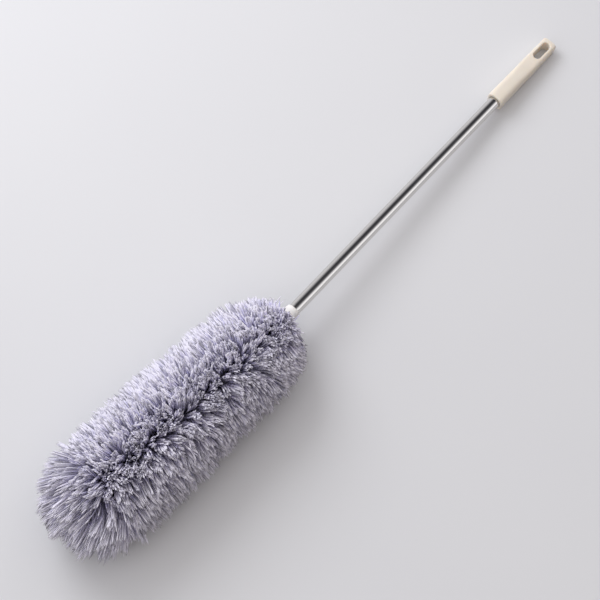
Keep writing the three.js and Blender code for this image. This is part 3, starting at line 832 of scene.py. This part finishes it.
# The tree that grows the strands: points on the envelope, a slim three-sided strand at each,
# bent from its root to its tip, gathered in locks and laid on the floor. "Shades as a whole"
# is how far a strand's normals lean along it, so that the pile shades as one body.
WISP_SHARE = 0.015
RING_CROWDING = 2.6
OFF_AXIS = (0.48, 0.6, 0.64)
FLOOR_SLIDE = 0.7
COLUMN_SPREAD = (0.37, 0.14, 0.0)
pile_tree = bpy.data.node_groups.new("fibre_pile", "GeometryNodeTree")
pile_sizes = {
    "Strands per square metre": 340000.0,
    "Strand width": 1.9 * MM,
    "Shortest strand": 0.64,
    "Longest strand": 1.04,
    "Stray": 4 * MM,
    "Wisp reach": 20 * MM,
    "Wisp length": 0.06,
    "Swirl size": 30 * MM,
    "Swirl reach": 48 * MM,
    "Lock size": 7 * MM,
    "Lock pull": 0.33,
    "Lock reach": 13 * MM,
    "Lock unevenness": 0.16,
    "Droop": 3 * MM,
    "Floor ease": 4 * MM,
    "Leaves upright": 0.5,
    "Shades as a whole": 0.55,
}
pile_tree.interface.new_socket("Envelope", in_out="INPUT", socket_type="NodeSocketGeometry")
for name in pile_sizes:
    pile_tree.interface.new_socket(name, in_out="INPUT", socket_type="NodeSocketFloat")
pile_tree.interface.new_socket("Seed", in_out="INPUT", socket_type="NodeSocketInt")
pile_tree.interface.new_socket("Finish", in_out="INPUT", socket_type="NodeSocketMaterial")
pile_tree.interface.new_socket("Pile", in_out="OUTPUT", socket_type="NodeSocketGeometry")
given = pile_tree.nodes.new("NodeGroupInput").outputs
tree = pile_tree
position = add(tree, "GeometryNodeInputPosition")
root = add(tree, "GeometryNodeInputNamedAttribute", {"Name": "root"}, data_type="FLOAT_VECTOR")
radial = add(tree, "GeometryNodeInputNamedAttribute", {"Name": "radial"}, data_type="FLOAT_VECTOR")
points = add(tree, "GeometryNodeDistributePointsOnFaces", {
    "Mesh": given["Envelope"], "Density": given["Strands per square metre"],
    "Seed": given["Seed"],
}, distribute_method="RANDOM")

# Where each tip goes: strands gather in locks, and a lock is cut and swept as one.
chance = add(tree, "FunctionNodeRandomValue", {"Min": 0.0, "Max": 1.0, "Seed": 1},
             data_type="FLOAT")
chance = add(tree, "ShaderNodeMath", {0: chance}, operation="SQRT")
share = add(tree, "ShaderNodeMapRange", {
    "Value": chance, "To Min": given["Shortest strand"], "To Max": given["Longest strand"],
})
cells = add(tree, "ShaderNodeMath", {0: 1.0, 1: given["Lock size"]}, operation="DIVIDE")
lock, centre = [
    add(tree, "ShaderNodeTexVoronoi", {"Vector": position, "Scale": cells}, out=name)
    for name in ("Color", "Position")
]
cut = add(tree, "ShaderNodeSeparateXYZ", {"Vector": lock}, out="X")
cut = add(tree, "ShaderNodeMath", {0: cut, 1: given["Lock unevenness"]}, operation="MULTIPLY")
share = add(tree, "ShaderNodeMath", {0: share, 1: cut}, operation="SUBTRACT")
depth = add(tree, "ShaderNodeMath", {0: share, 1: 1.0}, operation="MINIMUM")
tip = add(tree, "ShaderNodeMix", {"Factor": share, "A": root, "B": position},
          data_type="VECTOR", clamp_factor=False)
wisp = add(tree, "FunctionNodeRandomValue", {"Min": 0.0, "Max": 1.0, "Seed": 5}, data_type="FLOAT")
wisp = add(tree, "ShaderNodeMapRange", {"Value": wisp, "From Min": 1 - WISP_SHARE})
longer = add(tree, "ShaderNodeMath", {0: wisp, 1: given["Wisp length"], 2: 1.0},
             operation="MULTIPLY_ADD")
whole = add(tree, "ShaderNodeVectorMath", {0: tip, 1: root}, out="Value", operation="DISTANCE")
whole = add(tree, "ShaderNodeMath", {0: whole, 1: longer}, operation="MULTIPLY")
tip = add(tree, "ShaderNodeMix", {"Factor": given["Lock pull"], "A": tip, "B": centre},
          data_type="VECTOR")
swirls = add(tree, "ShaderNodeMath", {0: 1.0, 1: given["Swirl size"]}, operation="DIVIDE")
swirl = add(tree, "ShaderNodeTexNoise", {"Vector": centre, "Scale": swirls, "Detail": 1.5},
            out="Color")
stray = add(tree, "FunctionNodeRandomValue", {
    "Min": (0.0, 0.0, 0.0), "Max": (1.0, 1.0, 1.0), "Seed": 4,
}, data_type="FLOAT_VECTOR")
far = add(tree, "ShaderNodeMath", {0: wisp, 1: given["Wisp reach"]}, operation="MULTIPLY")
for push, amount in (
    (swirl, given["Swirl reach"]), (lock, given["Lock reach"]),
    (stray, given["Stray"]), (stray, far),
):
    push = add(tree, "ShaderNodeVectorMath", {0: push, 1: (0.5, 0.5, 0.5)}, operation="SUBTRACT")
    push = add(tree, "ShaderNodeVectorMath", {0: push, "Scale": amount}, operation="SCALE")
    tip = add(tree, "ShaderNodeVectorMath", {0: tip, 1: push}, operation="ADD")
aim = add(tree, "ShaderNodeVectorMath", {0: tip, 1: root}, operation="SUBTRACT")
aim = add(tree, "ShaderNodeVectorMath", {0: aim}, operation="NORMALIZE")
aim = add(tree, "ShaderNodeVectorMath", {0: aim, "Scale": whole}, operation="SCALE")
tip = add(tree, "ShaderNodeVectorMath", {0: root, 1: aim}, operation="ADD")
upright = add(tree, "ShaderNodeSeparateXYZ", {"Vector": radial}, out="Z")
level = add(tree, "ShaderNodeMath", {0: upright, 1: upright}, operation="MULTIPLY")
level = add(tree, "ShaderNodeMath", {0: level, 1: 1.0}, operation="SUBTRACT")
fall = add(tree, "ShaderNodeMath", {0: level, 1: given["Droop"]}, operation="MULTIPLY")
fall = add(tree, "ShaderNodeCombineXYZ", {"Z": fall})
tip = add(tree, "ShaderNodeVectorMath", {0: tip, 1: fall}, operation="ADD")
luck = add(tree, "FunctionNodeRandomValue", {"Min": 0.0, "Max": 1.0, "Seed": 2}, data_type="FLOAT")
girth = add(tree, "FunctionNodeRandomValue", {"Min": 0.75, "Max": 1.25, "Seed": 3},
            data_type="FLOAT")
for key, kind, value in (
    ("tip", "FLOAT_VECTOR", tip), ("luck", "FLOAT", luck), ("girth", "FLOAT", girth),
    ("depth", "FLOAT", depth),
):
    points = add(tree, "GeometryNodeStoreNamedAttribute", {
        "Geometry": points, "Name": key, "Value": value,
    }, data_type=kind, domain="POINT")

# The strand itself, and a copy at every point.
strand = add(tree, "GeometryNodeMeshCone", {
    "Vertices": 3, "Side Segments": 3, "Radius Top": 0.0, "Radius Bottom": 1.0, "Depth": 1.0,
}, out="Mesh", fill_type="NGON")
height = add(tree, "ShaderNodeSeparateXYZ", {"Vector": position}, out="Z")
spoke = add(tree, "ShaderNodeVectorMath", {0: position, 1: (1.0, 1.0, 0.0)}, operation="MULTIPLY")
spoke = add(tree, "ShaderNodeVectorMath", {0: spoke}, operation="NORMALIZE")
for key, kind, value in (("height", "FLOAT", height), ("spoke", "FLOAT_VECTOR", spoke)):
    strand = add(tree, "GeometryNodeStoreNamedAttribute", {
        "Geometry": strand, "Name": key, "Value": value,
    }, data_type=kind, domain="POINT")
strands = add(tree, "GeometryNodeInstanceOnPoints", {"Points": points, "Instance": strand})
strands = add(tree, "GeometryNodeRealizeInstances", {"Geometry": strands})

# Every point of a strand moves to its place on the curve from root to tip. The rings of the
# strand crowd towards the tip, so that it ends blunt.
tip, spoke = [
    add(tree, "GeometryNodeInputNamedAttribute", {"Name": key}, data_type="FLOAT_VECTOR")
    for key in ("tip", "spoke")
]
luck, girth, depth, height = [
    add(tree, "GeometryNodeInputNamedAttribute", {"Name": key}, data_type="FLOAT")
    for key in ("luck", "girth", "depth", "height")
]
below = add(tree, "ShaderNodeMath", {0: 1.0, 1: height}, operation="SUBTRACT")
below = add(tree, "ShaderNodeMath", {0: below, 1: RING_CROWDING}, operation="POWER")
height = add(tree, "ShaderNodeMath", {0: 1.0, 1: below}, operation="SUBTRACT")
strand = add(tree, "ShaderNodeVectorMath", {0: tip, 1: root}, operation="SUBTRACT")
length = add(tree, "ShaderNodeVectorMath", {0: strand}, out="Value", operation="LENGTH")
length = add(tree, "ShaderNodeMath", {0: length, 1: given["Leaves upright"]}, operation="MULTIPLY")
elbow = add(tree, "ShaderNodeVectorMath", {0: radial, "Scale": length}, operation="SCALE")
elbow = add(tree, "ShaderNodeVectorMath", {0: root, 1: elbow}, operation="ADD")
first = add(tree, "ShaderNodeMix", {"Factor": height, "A": root, "B": elbow}, data_type="VECTOR")
second = add(tree, "ShaderNodeMix", {"Factor": height, "A": elbow, "B": tip}, data_type="VECTOR")
bent = add(tree, "ShaderNodeMix", {"Factor": height, "A": first, "B": second}, data_type="VECTOR")
across = add(tree, "ShaderNodeVectorMath", {0: strand, 1: OFF_AXIS},
             operation="CROSS_PRODUCT")
across = add(tree, "ShaderNodeVectorMath", {0: across}, operation="NORMALIZE")
aside = add(tree, "ShaderNodeVectorMath", {0: strand, 1: across}, operation="CROSS_PRODUCT")
aside = add(tree, "ShaderNodeVectorMath", {0: aside}, operation="NORMALIZE")
width = add(tree, "ShaderNodeMapRange", {"Value": height, "To Min": 0.3, "To Max": 0.5})
width = add(tree, "ShaderNodeMath", {0: width, 1: girth}, operation="MULTIPLY")
width = add(tree, "ShaderNodeMath", {0: width, 1: given["Strand width"]}, operation="MULTIPLY")
outward = add(tree, "ShaderNodeVectorMath", {0: strand}, operation="NORMALIZE")
outward = add(tree, "ShaderNodeVectorMath", {0: outward, "Scale": given["Shades as a whole"]},
              operation="SCALE")
for axis, part in (("X", across), ("Y", aside)):
    amount = add(tree, "ShaderNodeSeparateXYZ", {"Vector": spoke}, out=axis)
    part = add(tree, "ShaderNodeVectorMath", {0: part, "Scale": amount}, operation="SCALE")
    outward = add(tree, "ShaderNodeVectorMath", {0: outward, 1: part}, operation="ADD")
    part = add(tree, "ShaderNodeVectorMath", {0: part, "Scale": width}, operation="SCALE")
    bent = add(tree, "ShaderNodeVectorMath", {0: bent, 1: part}, operation="ADD")
outward = add(tree, "ShaderNodeVectorMath", {0: outward}, operation="NORMALIZE")

# The floor lifts what would go below it, and the strand slides outwards there.
low = add(tree, "ShaderNodeSeparateXYZ", {"Vector": bent}, out="Z")
square = add(tree, "ShaderNodeMath", {0: low, 1: low}, operation="MULTIPLY")
ease = add(tree, "ShaderNodeMath", {0: given["Floor ease"], 1: given["Floor ease"]},
           operation="MULTIPLY")
eased = add(tree, "ShaderNodeMath", {0: square, 1: ease}, operation="ADD")
eased = add(tree, "ShaderNodeMath", {0: eased}, operation="SQRT")
lift = add(tree, "ShaderNodeMath", {0: eased, 1: low}, operation="SUBTRACT")
lift = add(tree, "ShaderNodeMath", {0: lift, 1: 0.5}, operation="MULTIPLY")
slid = add(tree, "ShaderNodeVectorMath", {
    0: radial, 1: (FLOOR_SLIDE, FLOOR_SLIDE, 0.0),
}, operation="MULTIPLY")
slid = add(tree, "ShaderNodeVectorMath", {0: slid, 1: (0.0, 0.0, 1.0)}, operation="ADD")
slid = add(tree, "ShaderNodeVectorMath", {0: slid, "Scale": lift}, operation="SCALE")
bent = add(tree, "ShaderNodeVectorMath", {0: bent, 1: slid}, operation="ADD")
strands = add(tree, "GeometryNodeStoreNamedAttribute", {
    "Geometry": strands, "Name": "outward", "Value": outward,
}, data_type="FLOAT_VECTOR", domain="POINT")
strands = add(tree, "GeometryNodeSetPosition", {"Geometry": strands, "Position": bent})

# The strand's map: its shade's column across, and upwards from its root to the outside of the
# pile. The fibre's painted shade follows it, so that a short strand, deep in the pile, stays
# darker.
column = add(tree, "ShaderNodeMath", {0: luck, 1: float(PILE_SHADES)}, operation="MULTIPLY")
column = add(tree, "ShaderNodeMath", {0: column}, operation="FLOOR")
within = add(tree, "ShaderNodeVectorMath", {0: spoke, 1: COLUMN_SPREAD}, out="Value",
             operation="DOT_PRODUCT")
column = add(tree, "ShaderNodeMath", {0: column, 1: within}, operation="ADD")
column = add(tree, "ShaderNodeMath", {0: column, 1: 0.5}, operation="ADD")
column = add(tree, "ShaderNodeMath", {0: column, 1: float(PILE_SHADES)}, operation="DIVIDE")
painted_shade_reach = add(tree, "ShaderNodeMath", {0: height, 1: depth}, operation="MULTIPLY")
strand_map = add(tree, "ShaderNodeCombineXYZ", {"X": column, "Y": painted_shade_reach})
strands = add(tree, "GeometryNodeStoreNamedAttribute", {
    "Geometry": strands, "Name": "OFBake", "Value": strand_map,
}, data_type="FLOAT2", domain="CORNER")
strands = add(tree, "GeometryNodeSetShadeSmooth", {0: strands})
outward = add(tree, "GeometryNodeInputNamedAttribute", {"Name": "outward"},
              data_type="FLOAT_VECTOR")
strands = add(tree, "GeometryNodeSetMeshNormal", {"Mesh": strands, "Custom Normal": outward},
              mode="FREE", domain="POINT")
strands = add(tree, "GeometryNodeSetMaterial", {"Geometry": strands, "Material": given["Finish"]})
add(tree, "NodeGroupOutput", {"Pile": strands})


def along_rows(first, last, step):
    """Rows of the envelope between two places along the core."""
    steps = max(2, math.ceil((last - first) / step))
    return [(first + (last - first) * k / steps, 0.0) for k in range(steps + 1)]


# Strands are looser at the ferrule, and fewer and more apart in stronger locks at the tip.
FIRST_SEED = 11
loose = {"Stray": 9 * MM, "Wisp reach": 40 * MM, "Wisp length": 0.12}
splayed = {
    "Strands per square metre": 165000.0,
    "Strand width": 1.85 * MM,
    "Shortest strand": 0.74,
    "Longest strand": 1.13,
    "Stray": 6 * MM,
    "Lock size": 11 * MM,
    "Lock pull": 0.52,
    "Lock reach": 27 * MM,
    "Lock unevenness": 0.3,
    "Shades as a whole": 0.2,
}
collar_rows = [(0.0, 1 - k / COLLAR_ROWS) for k in range(COLLAR_ROWS)]
collar_rows += along_rows(0.0, COLLAR_REACH, ENVELOPE_STEP)
zones = [
    ("pile_collar", collar_rows, ("head_root",), None, None, loose),
    ("pile_rear", along_rows(COLLAR_REACH, BAND, ENVELOPE_STEP), ("head_root",), None, None, {}),
]
for band in range(6):
    _, start, end, bodies = stretches[1 + band // 2]
    rows = along_rows((band + 1) * BAND, (band + 2) * BAND, ENVELOPE_STEP)
    zones.append((f"pile_band_{band + 1}", rows, bodies, start, end, {}))
zones += [
    ("pile_front", along_rows(7 * BAND, FAN_START, FRONT_STEP), ("head_tip",), None, None, splayed),
    ("pile_fan", along_rows(FAN_START, END_START, FAN_STEP), ("head_tip",), None, None, splayed),
    ("pile_end", along_rows(END_START, PILE_LENGTH, FAN_STEP), ("head_tip",), None, None, splayed),
]
for order, (name, rows, bodies, start, end, own_sizes) in enumerate(zones):
    pile = envelope(name, rows)
    grown = pile.modifiers.new("fibre_pile", "NODES")
    grown.node_group = pile_tree
    inputs = {**pile_sizes, **own_sizes, "Seed": FIRST_SEED + order, "Finish": fibre}
    for socket in pile_tree.interface.items_tree:
        if socket.in_out == "INPUT" and socket.name in inputs:
            grown[socket.identifier] = inputs[socket.name]
    settled(pile)
    for key in ("root", "radial", "tip", "luck", "girth", "depth", "height", "spoke", "outward"):
        if key in pile.data.attributes:
            pile.data.attributes.remove(pile.data.attributes[key])
    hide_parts(pile_nodes[min(3, int(rows[0][0] / (2 * BAND)))])
    follow(pile, bodies)

# Studio: a wide pale floor, soft light from above that fades to the near side, and one large
# soft lamp on the far side. Polished surfaces mirror strips of light on both sides of a dark
# band instead, which gives the tube its dark stripe. Both are ramps across the pole in degrees.
FLOOR_SIZE = 12.0
FLOOR_COLOUR = "#d9dadd"
FLOOR_SHADE = "#d4d5d9"
FLOOR_MOTTLE = 0.35
STRIP_COLOUR = "#f6f5f8"
STRIP_LIGHT = 1.35
STRIPS = (
    (-90, "#8c8b8f"), (-80, "#b4b3b7"), (-72, STRIP_COLOUR), (-50, STRIP_COLOUR), (-38, "#c4c3c7"),
    (-24, "#6a6a6e"), (-8, "#3a3a3e"), (20, "#2c2c30"), (32, "#58585c"), (46, "#98979b"),
    (66, "#c0bfc3"), (90, "#d0cfd2"),
)
SKY_LIGHT = 1.05
SKY = (
    (-90, "#45413f"), (-60, "#706a66"), (-35, "#bcb5b1"), (-8, "#f4f0ee"), (20, "#fcfafa"),
    (50, "#f4f3f6"), (80, "#e2e3e8"), (90, "#d6d7dc"),
)
KEY_DIRECTION = Vector((0.07, 0.7, 0.71))
KEY_DISTANCE = 1.7
KEY_SIZE = 1.1
KEY_POWER = 13.5
KEY_COLOUR = (0.975, 0.98, 1.0)

# Matt floor paint: pale grey, with a faint wide mottle.
floor_paint, tree = new_material("matt_floor_paint")
place = add(tree, "ShaderNodeTexCoord", out="Object")
mottle = add(tree, "ShaderNodeTexNoise", {"Vector": place, "Scale": 1 / FLOOR_MOTTLE})
tint = add(tree, "ShaderNodeMix", {
    "Factor": mottle, "A": srgb(FLOOR_COLOUR), "B": srgb(FLOOR_SHADE),
}, data_type="RGBA")
shade = add(tree, "ShaderNodeBsdfPrincipled", {"Base Color": tint, "Roughness": 0.8})
add(tree, "ShaderNodeOutputMaterial", {"Surface": shade})
half = FLOOR_SIZE / 2
floor_mesh = bpy.data.meshes.new("floor")
floor_mesh.from_pydata(
    [(-half, -half, 0), (half, -half, 0), (half, half, 0), (-half, half, 0)], [], [(0, 1, 2, 3)]
)
floor_mesh.materials.append(floor_paint)
floor = bpy.data.objects.new("floor", floor_mesh)
bpy.context.scene.collection.objects.link(floor)

studio = bpy.data.worlds.new("studio")
studio.use_nodes = True
studio.node_tree.nodes.clear()
tree = studio.node_tree
heading = add(tree, "ShaderNodeTexCoord", out="Generated")
sideways, upward = [
    add(tree, "ShaderNodeSeparateXYZ", {"Vector": heading}, out=axis) for axis in ("Y", "Z")
]
turn = add(tree, "ShaderNodeMath", {0: sideways, 1: upward}, operation="ARCTAN2")
turn = add(tree, "ShaderNodeMapRange", {
    "Value": turn, "From Min": -math.pi / 2, "From Max": math.pi / 2,
})
glows = []
for bands, strength in ((SKY, SKY_LIGHT), (STRIPS, STRIP_LIGHT)):
    light = add(tree, "ShaderNodeValToRGB", {"Fac": turn}, out="Color")
    stops = light.node.color_ramp.elements
    stops[0].color = srgb(bands[0][1])
    stops[1].color = srgb(bands[-1][1])
    for angle, colour in bands[1:-1]:
        stops.new(angle / 180 + 0.5).color = srgb(colour)
    glows.append(add(tree, "ShaderNodeBackground", {"Color": light, "Strength": strength}))
mirrored = add(tree, "ShaderNodeLightPath", out="Is Glossy Ray")
glow = add(tree, "ShaderNodeMixShader", {0: mirrored, 1: glows[0], 2: glows[1]})
add(tree, "ShaderNodeOutputWorld", {"Surface": glow})
bpy.context.scene.world = studio

lamp = bpy.data.lights.new("key_lamp", "AREA")
lamp.shape = "DISK"
lamp.size = KEY_SIZE
lamp.energy = KEY_POWER
lamp.color = KEY_COLOUR
key = bpy.data.objects.new("key_lamp", lamp)
key.location = KEY_DIRECTION.normalized() * KEY_DISTANCE
key.rotation_euler = KEY_DIRECTION.to_track_quat("Z", "Y").to_euler()
key.visible_glossy = False
bpy.context.scene.collection.objects.link(key)

# Camera: stands over the head's near side and looks down across the pole.
CAMERA_LENS = 85.0
CAMERA_PLACE = (-0.3907, -0.3178, 1.5922)
CAMERA_DOWN = math.radians(73.16)
CAMERA_HEADING = math.radians(-48.22)

view = bpy.data.cameras.new("photo_view")
view.lens = CAMERA_LENS
camera = bpy.data.objects.new("photo_view", view)
camera.location = CAMERA_PLACE
camera.rotation_euler = (math.pi / 2 - CAMERA_DOWN, 0, CAMERA_HEADING)
bpy.context.scene.collection.objects.link(camera)
bpy.context.scene.camera = camera
bpy.context.scene.view_settings.view_transform = "Standard"
